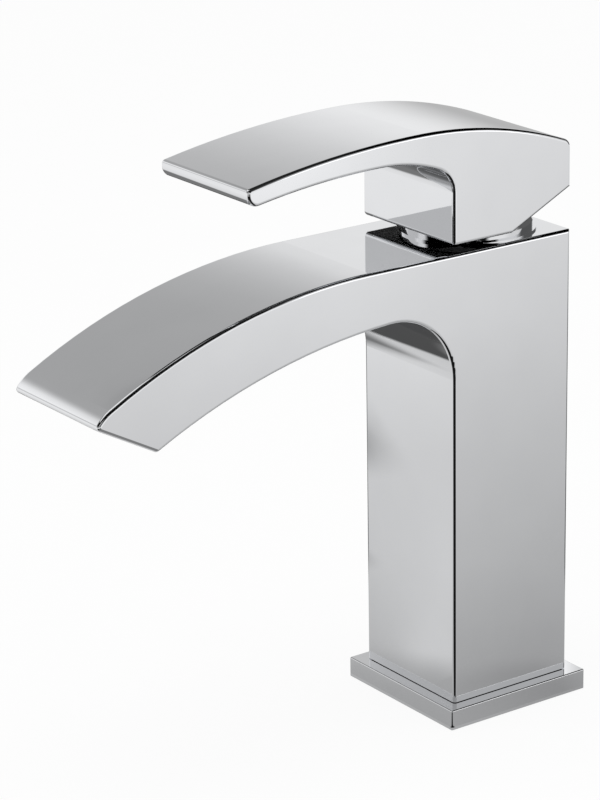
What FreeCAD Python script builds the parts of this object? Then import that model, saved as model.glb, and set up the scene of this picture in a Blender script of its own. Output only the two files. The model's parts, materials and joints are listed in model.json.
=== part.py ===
import FreeCAD, Part
import math
import os
import Sketcher

# Single-lever basin mixer tap: a square column with a drooping spout, a ceramic-disc cartridge
# in the column's top and a block handle with a curved lever.
# Millimetres and degrees. +Z is up, the spout points to -Y, and the origin is the centre of the
# column on the deck. The tap is closed and centred.

DRIVING_SIZES = {
    # clearances
    "fit_gap": 0.1,
    "run_gap": 0.08,
    "pin_gap": 0.02,
    "slide_gap": 0.3,
    # ceramic discs
    "disc_radius": 10.9,
    "moving_disc_thickness": 4.0,
    "fixed_disc_thickness": 5.0,
    "disc_gap": 0.05,
    "inlet_port_radius": 2.0,
    "inlet_port_rib": 0.4,
    "inlet_port_front": 4.8,
    "outlet_port_radius": 3.0,
    "outlet_port_back": 4.6,
    "mixing_pocket_radius": 6.2,
    "mixing_pocket_back": 5.4,
    "mixing_pocket_depth": 2.2,
    # stem, its pivot and what it pushes
    "pivot_depth": 8.23,
    "pin_radius": 1.5,
    "lift_angle": 25.0,
    "turn_angle": 50.0,
    "stem_width": 8.0,
    "stem_rise": 33.2,
    "stem_arm": 14.0,
    "ball_radius": 3.3,
    "ball_neck_radius": 2.0,
    "shank_depth": 8.0,
    "carrier_height": 6.2,
    "carrier_flange": 2.4,
    "carrier_inset": 2.9,
    "carrier_corner": 0.25,
    "guide_wall": 1.75,
    "guide_rise": 6.0,
    "guide_flange": 2.6,
    "guide_drop": 0.8,
    "rail_wall": 2.3,
    "rail_room": 1.4,
    "stop_width": 4.0,
    "stop_height": 1.8,
    "stop_margin": 1.0,
    # cartridge shell, base, seals and nut
    "slide_room": 0.44,
    "housing_wall": 2.3,
    "ceiling_thickness": 2.5,
    "neck_wall": 2.2,
    "ring_section": 1.15,
    "ring_land": 1.2,
    "base_thickness": 7.0,
    "base_flange": 4.0,
    "base_pin_radius": 1.5,
    "base_pin_length": 2.2,
    "base_pin_side": 9.0,
    "base_pin_back": 6.0,
    "seal_width": 1.4,
    "seal_height": 1.6,
    "disc_seal_width": 1.0,
    "disc_seal_height": 1.2,
    "drain_width": 6.4,
    "drain_floor": 0.85,
    "nut_thread_length": 7.0,
    "nut_head": 4.0,
    "nut_head_wall": 2.1,
    # body
    "body_height": 145.43,
    "water_gap": 1.6,
    "thread_height": 0.8,
    "body_wall": 2.6,
    "edge_round": 1.05,
    "end_round_extra": 0.15,
    "spout_thickness": 16.2,
    "spout_reach": 144.15,
    "outlet_tilt": 28.7,
    "droop_start": 51.3,
    "droop_radius": 180.0,
    "under_start": 34.9,
    "arch_radius": 21.3,
    "lip_radius": 12.5,
    "lip_length": 6.4,
    "foot_gap": 0.2,
    "foot_inset": 2.0,
    "channel_wall": 2.6,
    "channel_back_wall": 1.8,
    "channel_side_wall": 2.8,
    "channel_tip_wall": 10.25,
    "channel_outlet_wall": 5.0,
    "mouth_land": 0.9,
    "inlet_radius": 2.9,
    "inlet_side": 5.6,
    "inlet_front": 5.0,
    "hose_thread_radius": 4.5,
    "hose_thread_length": 12.0,
    "hose_thread_side": 7.0,
    "stud_thread_radius": 3.4,
    "stud_thread_length": 14.0,
    "stud_back": 9.0,
    # base plate
    "plate_margin": 4.0,
    "plate_thickness": 6.2,
    "plate_corner_round": 0.4,
    "plate_edge_round": 0.35,
    "spigot_inset": 4.6,
    "gasket_inset": 2.4,
    "gasket_width": 2.8,
    "gasket_thickness": 1.5,
    # collar
    "washer_thickness": 0.6,
    "washer_margin": 1.12,
    "collar_lip": 0.4,
    "collar_rise": 2.4,
    "collar_wall": 1.5,
    "collar_opening": 14.5,
    "skirt_wall": 1.2,
    "skirt_gap": 0.8,
    # handle
    "handle_gap": 2.6,
    "handle_clearance": 0.5,
    "handle_height": 34.35,
    "bevel_margin": 0.6,
    "crest_front": 31.47,
    "crest_front_radius": 302.0,
    "crest_back_radius": 141.0,
    "back_round": 3.0,
    "lever_reach": 91.9,
    "lever_thickness": 7.45,
    "lever_crest": 46.5,
    "lever_under_radius": 240.0,
    "lever_root_radius": 54.0,
    "lever_root_fillet": 8.0,
    "lever_nose": 3.4,
    "nose_share": 0.75,
    "screw_radius": 2.5,
    "screw_length": 8.0,
    "screw_rise": 27.0,
    "screw_key": 1.25,
    "screw_key_depth": 3.0,
    "plug_radius": 3.4,
    "plug_depth": 3.0,
    "plug_crown": 0.3,
    # aerator, measured inwards from the outlet face
    "aerator_radius": 8.25,
    "aerator_depth": 5.2,
    "aerator_land": 1.4,
    "aerator_tip_land": 5.93,
    "aerator_recess": 0.3,
    "aerator_wall": 1.6,
    "aerator_lip": 0.8,
    "aerator_lip_width": 1.0,
    "aerator_insert_thickness": 2.0,
    "aerator_screen_thickness": 0.5,
    "aerator_seal_thickness": 0.8,
    "outlet_bore_radius": 6.2,
    "outlet_bore_overlap": 1.2,
    "jet_radius": 0.55,
    "jet_pitch": 1.75,
}

# Sizes and levels that follow from the driving ones.
DERIVED_SIZES = {
    # widths, from the discs outwards
    "slide_travel": "dims.stem_arm * sin(dims.lift_angle)",
    "housing_bore": "dims.disc_radius + derived.slide_travel / 2 + dims.slide_room",
    "housing_radius": "derived.housing_bore + dims.housing_wall",
    "chamber_radius": "derived.housing_radius + dims.water_gap",
    "slot_top": "dims.stem_width / 2 / cos(dims.lift_angle) + dims.guide_rise * tan(dims.lift_angle)",
    "slot_bottom": "dims.stem_width / 2 * cos(dims.lift_angle) + dims.shank_depth * sin(dims.lift_angle)",
    "slot_reach": "max(derived.slot_top; derived.slot_bottom) + dims.slide_gap",
    "slot_side": "dims.stem_width / 2 + dims.run_gap",
    "guide_radius": "sqrt(derived.slot_reach ^ 2 + derived.slot_side ^ 2) + dims.guide_wall",
    "neck_bore": "derived.guide_radius + dims.run_gap",
    "neck_radius": "derived.neck_bore + dims.neck_wall",
    "nut_bore": "derived.neck_radius + dims.slide_gap",
    "nut_flat": "derived.nut_bore + dims.nut_head_wall",
    "nut_corner": "derived.nut_flat / cos(30)",
    "skirt_bore": "derived.nut_corner + dims.slide_gap",
    "thread_radius": "max(derived.chamber_radius + dims.thread_height;"
                     " derived.skirt_bore + dims.skirt_wall + dims.fit_gap)",
    "skirt_radius": "derived.thread_radius - dims.fit_gap",
    "skirt_inner": "derived.skirt_radius - dims.skirt_wall",
    "half_width": "derived.thread_radius + dims.body_wall",
    "end_round": "dims.edge_round + dims.end_round_extra",
    "inlet_port_side": "dims.inlet_port_radius + dims.disc_seal_width + dims.inlet_port_rib",
    # levels of the cartridge, from the pivot downwards
    "pivot_z": "dims.body_height - dims.pivot_depth",
    "ball_z": "derived.pivot_z - dims.stem_arm",
    "moving_disc_top": "derived.ball_z - dims.ball_radius - dims.slide_gap",
    "moving_disc_bottom": "derived.moving_disc_top - dims.moving_disc_thickness",
    "fixed_disc_top": "derived.moving_disc_bottom - dims.disc_gap",
    "fixed_disc_bottom": "derived.fixed_disc_top - dims.fixed_disc_thickness",
    "floor_z": "derived.fixed_disc_bottom - dims.base_thickness",
    "base_step": "derived.floor_z + dims.base_flange",
    "carrier_top": "derived.moving_disc_top + dims.carrier_height",
    "carrier_back": "derived.slide_travel / 2",
    "guide_flange_bottom": "derived.carrier_top + dims.guide_drop",
    "guide_flange_top": "derived.guide_flange_bottom + dims.guide_flange",
    "guide_top": "derived.pivot_z + dims.guide_rise",
    "neck_top": "derived.guide_top - dims.stop_height",
    "ball_room_side": "dims.ball_radius + dims.slide_gap",
    "carrier_side": "dims.disc_radius - dims.carrier_inset",
    "carrier_reach": "sqrt((dims.disc_radius - dims.carrier_corner) ^ 2 - derived.carrier_side ^ 2)",
    "rail_inner": "derived.carrier_side + dims.slide_gap / 2",
    "rail_outer": "derived.rail_inner + dims.rail_wall",
    "rail_reach": "sqrt((derived.housing_bore - dims.rail_room) ^ 2 - derived.rail_outer ^ 2)",
    "ceiling_bottom": "derived.guide_flange_top + dims.fit_gap",
    "shoulder_z": "derived.ceiling_bottom + dims.ceiling_thickness",
    "ring_z": "derived.shoulder_z - dims.ring_land - dims.ring_section - dims.fit_gap",
    "ring_groove_half": "dims.ring_section + dims.fit_gap",
    "ring_radius": "derived.chamber_radius - dims.fit_gap - dims.ring_section",
    "ring_groove_radius": "derived.ring_radius - dims.ring_section - dims.fit_gap / 2",
    "housing_band_bottom": "derived.ring_z - derived.ring_groove_half - dims.ring_land",
    "mouth_top": "derived.housing_band_bottom - dims.mouth_land",
    "nut_thread_top": "derived.shoulder_z + dims.nut_thread_length",
    "nut_top": "derived.nut_thread_top + dims.nut_head",
    "skirt_bottom": "derived.nut_thread_top + dims.skirt_gap",
    "stop_ring_inner": "derived.guide_radius + dims.slide_gap",
    "stop_half_angle": "asin(dims.stop_width / 2 / derived.stop_ring_inner) / 1 deg",
    "stop_ring_angle": "360 - 2 * (dims.turn_angle + derived.stop_half_angle + dims.stop_margin)",
    # collar and handle
    "collar_radius": "derived.thread_radius + dims.collar_lip",
    "collar_seat": "dims.body_height + dims.washer_thickness",
    "collar_shoulder": "dims.body_height + dims.collar_rise",
    "dome_radius": "sqrt(derived.collar_radius ^ 2 + (dims.pivot_depth + dims.collar_rise) ^ 2)",
    "dome_inner": "derived.dome_radius - dims.collar_wall",
    "cavity_radius": "derived.dome_radius + dims.handle_clearance",
    "handle_bottom": "dims.body_height + dims.handle_gap",
    "bevel_angle": "dims.lift_angle + dims.bevel_margin",
    "bevel_top": "derived.handle_bottom + derived.half_width * tan(derived.bevel_angle)",
    "crest_z": "derived.handle_bottom + dims.handle_height",
    "back_top": "derived.crest_z - dims.crest_back_radius"
                " + sqrt(dims.crest_back_radius ^ 2 - (derived.half_width + dims.crest_front) ^ 2)",
    "tip_top": "derived.crest_z - dims.crest_front_radius"
               " + sqrt(dims.crest_front_radius ^ 2 - (dims.lever_reach - dims.crest_front) ^ 2)",
    "under_crest": "derived.crest_z - dims.lever_thickness",
    "tip_bottom": "derived.under_crest - dims.lever_under_radius"
                  " + sqrt(dims.lever_under_radius ^ 2 - (dims.lever_reach - dims.lever_crest) ^ 2)",
    "nose_room": "derived.tip_top - derived.tip_bottom - derived.end_round",
    "nose_round": "min(dims.lever_nose; derived.nose_room * dims.nose_share)",
    "root_back": "dims.lever_crest - derived.half_width - dims.lever_root_fillet",
    "root_drop": "sqrt((dims.lever_root_radius - dims.lever_root_fillet) ^ 2 - derived.root_back ^ 2)",
    "root_scale": "dims.lever_root_radius / (dims.lever_root_radius - dims.lever_root_fillet)",
    "root_centre": "derived.under_crest - dims.lever_root_radius",
    "stem_top": "derived.pivot_z + dims.stem_rise",
    "screw_z": "derived.pivot_z + dims.screw_rise",
    "screw_end": "dims.stem_width / 2 + dims.screw_length",
    # spout
    "under_z": "dims.body_height - dims.spout_thickness",
    "droop_centre": "dims.body_height - dims.droop_radius",
    "tip_z": "derived.droop_centre"
             " + sqrt(dims.droop_radius ^ 2 - (dims.spout_reach - dims.droop_start) ^ 2)",
    "lip_y": "dims.spout_reach - dims.lip_length",
    "lip_z": "derived.droop_centre + sqrt(dims.droop_radius ^ 2 - (derived.lip_y - dims.droop_start) ^ 2)",
    "lip_scale": "1 - dims.lip_radius / dims.droop_radius",
    "lip_ahead": "dims.spout_reach - dims.droop_start"
                 " - (derived.lip_y - dims.droop_start) * derived.lip_scale",
    "lip_above": "derived.tip_z - derived.droop_centre"
                 " - (derived.lip_z - derived.droop_centre) * derived.lip_scale",
    "lip_aside": "derived.lip_ahead * sin(dims.outlet_tilt) - derived.lip_above * cos(dims.outlet_tilt)",
    "lip_cut": "derived.lip_ahead * cos(dims.outlet_tilt) + derived.lip_above * sin(dims.outlet_tilt)"
               " - sqrt(dims.lip_radius ^ 2 - derived.lip_aside ^ 2)",
    "edge_y": "dims.spout_reach - derived.lip_cut * cos(dims.outlet_tilt)",
    "edge_z": "derived.tip_z - derived.lip_cut * sin(dims.outlet_tilt)",
    "outlet_length": "2 * dims.aerator_radius + dims.aerator_land + dims.aerator_tip_land",
    "outlet_run": "derived.outlet_length * cos(dims.outlet_tilt)",
    "outlet_drop": "derived.outlet_length * sin(dims.outlet_tilt)",
    "heel_y": "dims.spout_reach - derived.outlet_run",
    "heel_z": "derived.tip_z - derived.outlet_drop",
    "under_run": "derived.heel_y - dims.under_start",
    "under_drop": "derived.under_z - derived.heel_z",
    "under_radius": "(derived.under_run ^ 2 + derived.under_drop ^ 2) / (2 * derived.under_drop)",
    "under_centre": "derived.under_z - derived.under_radius",
    "arch_y": "derived.half_width + dims.arch_radius",
    "arch_run": "derived.arch_y - dims.under_start",
    "arch_rise": "sqrt((derived.under_radius - dims.arch_radius) ^ 2 - derived.arch_run ^ 2)",
    "arch_scale": "derived.under_radius / (derived.under_radius - dims.arch_radius)",
    "arch_z": "derived.under_centre + derived.arch_rise",
    "channel_half": "derived.half_width - dims.channel_side_wall",
    "channel_droop": "dims.droop_radius - dims.channel_wall",
    "channel_under": "derived.under_radius + dims.channel_wall",
    "channel_arch": "dims.arch_radius + dims.channel_wall",
    "channel_scale": "derived.channel_under / (derived.under_radius - dims.arch_radius)",
    "channel_back": "derived.thread_radius + dims.channel_back_wall",
    "channel_tip_y": "dims.spout_reach - dims.channel_tip_wall",
    "channel_tip_z": "derived.droop_centre"
                     " + sqrt(derived.channel_droop ^ 2 - (derived.channel_tip_y - dims.droop_start) ^ 2)",
    "channel_heel_y": "derived.heel_y - dims.channel_outlet_wall",
    "channel_heel_z": "derived.under_centre"
                      " + sqrt(derived.channel_under ^ 2 - (derived.channel_heel_y - dims.under_start) ^ 2)",
    "mouth_y": "derived.chamber_radius - dims.water_gap",
    "mouth_front": "derived.half_width - dims.channel_wall / 2",
    "mouth_bottom": "derived.arch_z"
                    " + sqrt(derived.channel_arch ^ 2 - (derived.arch_y - derived.mouth_front) ^ 2)",
    "aerator_along": "(derived.outlet_length - dims.aerator_radius - dims.aerator_land)"
                     " / derived.outlet_length",
    "aerator_y": "-dims.spout_reach + derived.outlet_run * derived.aerator_along",
    "aerator_z": "derived.tip_z - derived.outlet_drop * derived.aerator_along",
    "end_run": "derived.channel_tip_y - derived.channel_heel_y",
    "end_drop": "derived.channel_tip_z - derived.channel_heel_z",
    "channel_depth": "((derived.channel_tip_z - derived.aerator_z) * derived.end_run"
                     " - (derived.channel_tip_y + derived.aerator_y) * derived.end_drop)"
                     " / (derived.end_drop * sin(dims.outlet_tilt)"
                     " + derived.end_run * cos(dims.outlet_tilt))",
    "outlet_bore_depth": "max(derived.channel_depth; dims.aerator_depth) + dims.outlet_bore_overlap",
    "aerator_outer": "dims.aerator_radius - dims.fit_gap",
    "aerator_inner": "derived.aerator_outer - dims.aerator_wall",
    "aerator_top": "dims.aerator_depth - dims.aerator_seal_thickness",
    "aerator_seat": "dims.aerator_recess + dims.aerator_lip",
    "insert_top": "derived.aerator_seat + dims.aerator_insert_thickness",
    # base plate
    "plate_half": "derived.half_width + dims.plate_margin",
    "foot_z": "dims.plate_thickness + dims.foot_gap",
    "foot_half": "derived.half_width - dims.foot_inset",
    "spigot_radius": "derived.half_width - dims.spigot_inset",
    "spigot_hole": "derived.spigot_radius + dims.fit_gap",
    "gasket_inner": "derived.spigot_hole + dims.gasket_inset",
    "gasket_outer": "derived.gasket_inner + dims.gasket_width",
}

doc = FreeCAD.newDocument("basin_mixer_tap")
dims = doc.addObject("Spreadsheet::Sheet", "dims")
derived = doc.addObject("Spreadsheet::Sheet", "derived")


def fill_sheet(sheet, entries):
    for row, (alias, entry) in enumerate(entries, start=1):
        sheet.set(f"A{row}", alias)
        sheet.set(f"B{row}", entry)
        sheet.setAlias(f"B{row}", alias)
    doc.recompute()


fill_sheet(dims, [(name, str(number)) for name, number in DRIVING_SIZES.items()])
fill_sheet(derived, [(name, "=" + formula) for name, formula in DERIVED_SIZES.items()])


def value(expression):
    """The number that an expression over the two sheets gives."""
    result = dims.evalExpression(expression)
    return float(getattr(result, "Value", result))


CENTRE = ("0", "0", "0")
FULL_TURN = 360
FIRST_RING_COUNT = 6
INSERT_RINGS = 2
SCREEN_RINGS = 3
SAME_PLACE = 1e-3
SUB_PARTS = []


def new_body(label):
    body = doc.addObject("PartDesign::Body", label)
    body.Label = label
    SUB_PARTS.append(body)
    return body


def bind_placement(item, prop, at, tilt, tilt_axis):
    """Binds a placement's three coordinates, and its tilt where there is one."""
    rotation = FreeCAD.Rotation(tilt_axis, value(tilt))
    setattr(item, prop, FreeCAD.Placement(FreeCAD.Vector(*map(value, at)), rotation))
    for axis, expression in zip("xyz", at):
        item.setExpression(f"{prop}.Base.{axis}", expression)
    if tilt != "0":
        item.setExpression(f"{prop}.Rotation.Angle", tilt)


def new_sketch(body, name, plane, at=CENTRE, tilt="0"):
    """Sketch on one of the body's origin planes, moved by at and tilted clockwise in its plane."""
    sketch = body.newObject("Sketcher::SketchObject", name)
    support = next(f for f in body.Origin.OriginFeatures if f.Role == plane)
    sketch.AttachmentSupport = [(support, "")]
    sketch.MapMode = "FlatFace"
    bind_placement(sketch, "AttachmentOffset", at, tilt, FreeCAD.Vector(0, 0, -1))
    return sketch


def bind_constraint(sketch, kind, *references, expression):
    index = sketch.addConstraint(Sketcher.Constraint(kind, *references, value(expression)))
    sketch.setExpression(f"Constraints[{index}]", expression)


def fix_point(sketch, geometry, end, corner):
    """Ties a point of the sketch to its two coordinates."""
    for kind, axis, expression in zip(("DistanceX", "DistanceY"), (-2, -1), corner):
        if expression == "0":
            sketch.addConstraint(Sketcher.Constraint("PointOnObject", geometry, end, axis))
        else:
            bind_constraint(sketch, kind, -1, 1, geometry, end, expression=expression)


def arc_between(start, finish, radius, turn):
    """Arc under a half circle; turn is 1 for anticlockwise and -1 for clockwise."""
    chord = finish - start
    left = FreeCAD.Vector(-chord.y, chord.x, 0).normalize()
    height = math.sqrt(radius ** 2 - (chord.Length / 2) ** 2)
    centre = (start + finish) / 2 + left * (turn * height)
    first, last = (start, finish) if turn > 0 else (finish, start)
    angles = [math.atan2(p.y - centre.y, p.x - centre.x) for p in (first, last)]
    return Part.ArcOfCircle(Part.Circle(centre, FreeCAD.Vector(0, 0, 1), radius), *angles)


def draw_outline(sketch, corners):
    """Closed outline. A corner is (x, y), or (x, y, radius, turn) where an arc leads to it."""
    points = [FreeCAD.Vector(value(c[0]), value(c[1]), 0) for c in corners]
    ends = []
    for index, corner in enumerate(corners):
        start = points[index - 1]
        finish = points[index]
        if len(corner) == 2:
            sketch.addGeometry(Part.LineSegment(start, finish))
            ends.append((1, 2))
        else:
            sketch.addGeometry(arc_between(start, finish, value(corner[2]), corner[3]))
            ends.append((1, 2) if corner[3] > 0 else (2, 1))
    for index, corner in enumerate(corners):
        following = (index + 1) % len(corners)
        sketch.addConstraint(
            Sketcher.Constraint("Coincident", index, ends[index][1], following, ends[following][0]))
        fix_point(sketch, index, ends[index][1], corner[:2])
    for index, corner in enumerate(corners):
        if len(corner) > 2:
            bind_constraint(sketch, "Radius", index, expression=corner[2])


def turned(body, name, corners, at=CENTRE, tilt="0", cut=False, angle="360"):
    """Solid, or cut, that an outline of (radius, height) corners sweeps about an upright axis."""
    sketch = new_sketch(body, name + "_outline", "YZ_Plane", (at[1], at[2], at[0]), tilt)
    draw_outline(sketch, corners)
    feature = body.newObject("PartDesign::Groove" if cut else "PartDesign::Revolution", name)
    feature.Profile = sketch
    feature.ReferenceAxis = (sketch, ["V_Axis"])
    feature.Midplane = True
    feature.setExpression("Angle", angle)
    return finish_feature(body, feature, cut)


def tube(inner, outer, low, high):
    return [(inner, low), (outer, low), (outer, high), (inner, high)]


def rectangle(left, right, low, high):
    return [(left, low), (right, low), (right, high), (left, high)]


def hexagon(flat):
    corner = f"({flat}) / cos(30)"
    half = f"{corner} / 2"
    return [(corner, "0"), (half, flat), (f"-{half}", flat),
            (f"-{corner}", "0"), (f"-{half}", f"-({flat})"), (half, f"-({flat})")]


def extruded(body, name, plane, corners, low, high, cut=False, at=("0", "0")):
    """Outline on a plane, drawn out between two levels along the plane's normal."""
    toward = "-" if plane == "XZ_Plane" else ""
    middle = f"{toward}(({low}) + ({high})) / 2"
    sketch = new_sketch(body, name + "_outline", plane, (at[0], at[1], middle))
    draw_outline(sketch, corners)
    feature = body.newObject("PartDesign::Pocket" if cut else "PartDesign::Pad", name)
    feature.Profile = sketch
    feature.SideType = "Symmetric"
    feature.setExpression("Length", f"({high}) - ({low})")
    return finish_feature(body, feature, cut)


def finish_feature(body, feature, cut):
    """Recomputes a feature and checks that a cut took material away."""
    before = feature.BaseFeature.Shape.Volume if feature.BaseFeature else 0
    doc.recompute()
    gained = feature.Shape.Volume - before
    if cut == (gained >= 0):
        raise ValueError(f"{body.Label}: {feature.Label} changed the volume by {gained}")
    body.Tip = feature
    return feature


def rounded(body, name, base, chosen, radius):
    """Fillet on the edges of base whose bounding box the test chosen accepts."""
    names = [f"Edge{n}" for n, edge in enumerate(base.Shape.Edges, start=1) if chosen(edge.BoundBox)]
    fillet = body.newObject("PartDesign::Fillet", name)
    fillet.Base = (base, names)
    fillet.setExpression("Radius", radius)
    doc.recompute()
    body.Tip = fillet
    return fillet


def near(first, second):
    return abs(first - second) < SAME_PLACE


def edge_along_x(y, z):
    """Test for the straight edge parallel to X at the given place."""
    return lambda box: near(box.YMin, y) and near(box.YMax, y) and near(box.ZMin, z) and near(box.ZMax, z)


def upright_edge(box):
    return near(box.XMin, box.XMax) and near(box.YMin, box.YMax)


def side_edge(half, lowest):
    """Test for an edge round a side face, but not along its bottom at the level lowest."""
    return lambda box: (near(box.XMin, box.XMax) and near(abs(box.XMin), half)
                        and not near(box.ZMax, lowest))


def jet_plate(label, low, high, radius, rings):
    """Round plate in the aerator with a centre hole and rings of holes."""
    body = new_body(label)
    hole = tube("0", "dims.jet_radius", low, high)
    turned(body, "plate", tube("0", radius, low, high))
    turned(body, "centre_jet", hole, cut=True)
    for ring in range(1, rings + 1):
        jet = turned(body, f"jet_{ring}", hole, at=("0", f"dims.jet_pitch * {ring}", "0"), cut=True)
        pattern = body.newObject("PartDesign::PolarPattern", f"jets_{ring}")
        pattern.Originals = [jet]
        pattern.Axis = (next(f for f in body.Origin.OriginFeatures if f.Role == "Z_Axis"), [""])
        pattern.Angle = FULL_TURN
        pattern.Occurrences = FIRST_RING_COUNT * ring
        body.Tip = pattern
        doc.recompute()
    seat_in_outlet(body)


def seat_in_outlet(body):
    """Places an aerator piece on the outlet's axis, with its Z pointing into the spout."""
    bind_placement(body, "Placement", ("0", "derived.aerator_y", "derived.aerator_z"),
                   "dims.outlet_tilt", FreeCAD.Vector(-1, 0, 0))


def spout_body():
    body = new_body("spout_body")
    half = "derived.half_width"
    front = "-derived.half_width"
    arch_end_y = "-(dims.under_start + derived.arch_run * derived.arch_scale)"
    arch_end_z = "derived.under_centre + derived.arch_rise * derived.arch_scale"
    side = extruded(body, "column_and_spout", "YZ_Plane", [
        (half, "derived.foot_z"),
        (half, "dims.body_height"),
        ("-dims.droop_start", "dims.body_height"),
        ("-derived.lip_y", "derived.lip_z", "dims.droop_radius", 1),
        ("-derived.edge_y", "derived.edge_z", "dims.lip_radius", 1),
        ("-derived.heel_y", "derived.heel_z"),
        (arch_end_y, arch_end_z, "derived.under_radius", -1),
        (front, "derived.arch_z", "dims.arch_radius", -1),
        (front, "derived.foot_z"),
    ], "-derived.half_width", half)
    heel = rounded(body, "heel", side, edge_along_x(-value("derived.heel_y"), value("derived.heel_z")),
                   "derived.end_round")
    lip = rounded(body, "lip", heel, edge_along_x(-value("derived.edge_y"), value("derived.edge_z")),
                  "derived.end_round")
    rounded(body, "soft_edges", lip, side_edge(value(half), value("derived.foot_z")), "dims.edge_round")
    foot = "derived.foot_half"
    extruded(body, "foot", "XY_Plane", rectangle(f"-{foot}", foot, f"-{foot}", foot),
             "dims.plate_thickness", "derived.foot_z")
    turned(body, "spigot", tube("0", "derived.spigot_radius", "0", "derived.foot_z"))
    thread_bottom = "derived.shoulder_z - dims.thread_height"
    turned(body, "cartridge_chamber", [
        ("0", "derived.floor_z"),
        ("derived.chamber_radius", "derived.floor_z"),
        ("derived.chamber_radius", thread_bottom),
        ("derived.thread_radius", thread_bottom),
        ("derived.thread_radius", "dims.body_height"),
        ("0", "dims.body_height"),
    ], cut=True)
    channel_end_y = "-(dims.under_start + derived.arch_run * derived.channel_scale)"
    channel_end_z = "derived.under_centre + derived.arch_rise * derived.channel_scale"
    ceiling = "dims.body_height - dims.channel_wall"
    extruded(body, "water_channel", "YZ_Plane", [
        ("-derived.mouth_y", "derived.mouth_bottom"),
        ("-derived.mouth_y", "derived.mouth_top"),
        ("-derived.channel_back", "derived.mouth_top"),
        ("-derived.channel_back", ceiling),
        ("-dims.droop_start", ceiling),
        ("-derived.channel_tip_y", "derived.channel_tip_z", "derived.channel_droop", 1),
        ("-derived.channel_heel_y", "derived.channel_heel_z"),
        (channel_end_y, channel_end_z, "derived.channel_under", -1),
        ("-derived.mouth_front", "derived.mouth_bottom", "derived.channel_arch", -1),
    ], "-derived.channel_half", "derived.channel_half", cut=True)
    turned(body, "aerator_bore", [
        ("0", "0"),
        ("dims.aerator_radius", "0"),
        ("dims.aerator_radius", "dims.aerator_depth"),
        ("dims.outlet_bore_radius", "dims.aerator_depth"),
        ("dims.outlet_bore_radius", "derived.outlet_bore_depth"),
        ("0", "derived.outlet_bore_depth"),
    ], at=("0", "derived.aerator_y", "derived.aerator_z"), tilt="dims.outlet_tilt", cut=True)
    for side_name, sign in (("hot", "-"), ("cold", "")):
        turned(body, f"{side_name}_riser", tube("0", "dims.inlet_radius", "0", "derived.floor_z"),
               at=(f"{sign}dims.inlet_side", "-dims.inlet_front", "0"), cut=True)
        hose_hole = tube("0", "dims.hose_thread_radius", "0", "dims.hose_thread_length")
        turned(body, f"{side_name}_hose_thread", hose_hole,
               at=(f"{sign}dims.hose_thread_side", "-dims.inlet_front", "0"), cut=True)
        pin_hole = tube("0", "dims.base_pin_radius + dims.fit_gap",
                        "derived.floor_z - dims.base_pin_length - dims.slide_gap", "derived.floor_z")
        turned(body, f"{side_name}_pin_hole", pin_hole,
               at=(f"{sign}dims.base_pin_side", "dims.base_pin_back", "0"), cut=True)
    turned(body, "stud_thread", tube("0", "dims.stud_thread_radius", "0", "dims.stud_thread_length"),
           at=("0", "dims.stud_back", "0"), cut=True)


def base_plate():
    body = new_body("base_plate")
    half = "derived.plate_half"
    plate = extruded(body, "plate", "XY_Plane", rectangle(f"-{half}", half, f"-{half}", half),
                     "0", "dims.plate_thickness")
    corners = rounded(body, "corners", plate, upright_edge, "dims.plate_corner_round")
    top = value("dims.plate_thickness")
    rounded(body, "top_edge", corners, lambda box: near(box.ZMin, top) and near(box.ZMax, top),
            "dims.plate_edge_round")
    turned(body, "spigot_hole", tube("0", "derived.spigot_hole", "0", "dims.plate_thickness"), cut=True)
    turned(body, "gasket_groove",
           tube("derived.gasket_inner", "derived.gasket_outer", "0", "dims.gasket_thickness"), cut=True)


def ring(label, inner, outer, low, high, at=CENTRE):
    body = new_body(label)
    turned(body, "ring", tube(inner, outer, low, high), at)
    return body


def collar():
    body = new_body("collar")
    dome_top = "derived.pivot_z + sqrt(derived.dome_radius ^ 2 - dims.collar_opening ^ 2)"
    inner_top = "derived.pivot_z + sqrt(derived.dome_inner ^ 2 - dims.collar_opening ^ 2)"
    inner_foot = "derived.pivot_z + sqrt(derived.dome_inner ^ 2 - derived.skirt_inner ^ 2)"
    turned(body, "dome", [
        ("derived.skirt_inner", "derived.skirt_bottom"),
        ("derived.skirt_radius", "derived.skirt_bottom"),
        ("derived.skirt_radius", "derived.collar_seat"),
        ("derived.collar_radius", "derived.collar_seat"),
        ("derived.collar_radius", "derived.collar_shoulder"),
        ("dims.collar_opening", dome_top, "derived.dome_radius", 1),
        ("dims.collar_opening", inner_top),
        ("derived.skirt_inner", inner_foot, "derived.dome_inner", -1),
    ])


def cartridge_nut():
    body = new_body("cartridge_nut")
    turned(body, "thread", tube("derived.nut_bore", "derived.skirt_radius",
                                "derived.shoulder_z", "derived.nut_thread_top"))
    extruded(body, "hexagon", "XY_Plane", hexagon("derived.nut_flat"),
             "derived.nut_thread_top", "derived.nut_top")
    turned(body, "bore", tube("0", "derived.nut_bore", "derived.shoulder_z", "derived.nut_top"), cut=True)


def cartridge_housing():
    body = new_body("cartridge_housing")
    band = "derived.chamber_radius - dims.fit_gap"
    turned(body, "shell", [
        ("derived.housing_bore", "derived.base_step"),
        ("derived.housing_radius", "derived.base_step"),
        ("derived.housing_radius", "derived.housing_band_bottom"),
        (band, "derived.housing_band_bottom"),
        (band, "derived.shoulder_z"),
        ("derived.neck_radius", "derived.shoulder_z"),
        ("derived.neck_radius", "derived.neck_top"),
        ("derived.neck_bore", "derived.neck_top"),
        ("derived.neck_bore", "derived.ceiling_bottom"),
        ("derived.housing_bore", "derived.ceiling_bottom"),
    ])
    turned(body, "ring_groove", tube("derived.ring_groove_radius", band,
                                     "derived.ring_z - derived.ring_groove_half",
                                     "derived.ring_z + derived.ring_groove_half"), cut=True)


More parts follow.
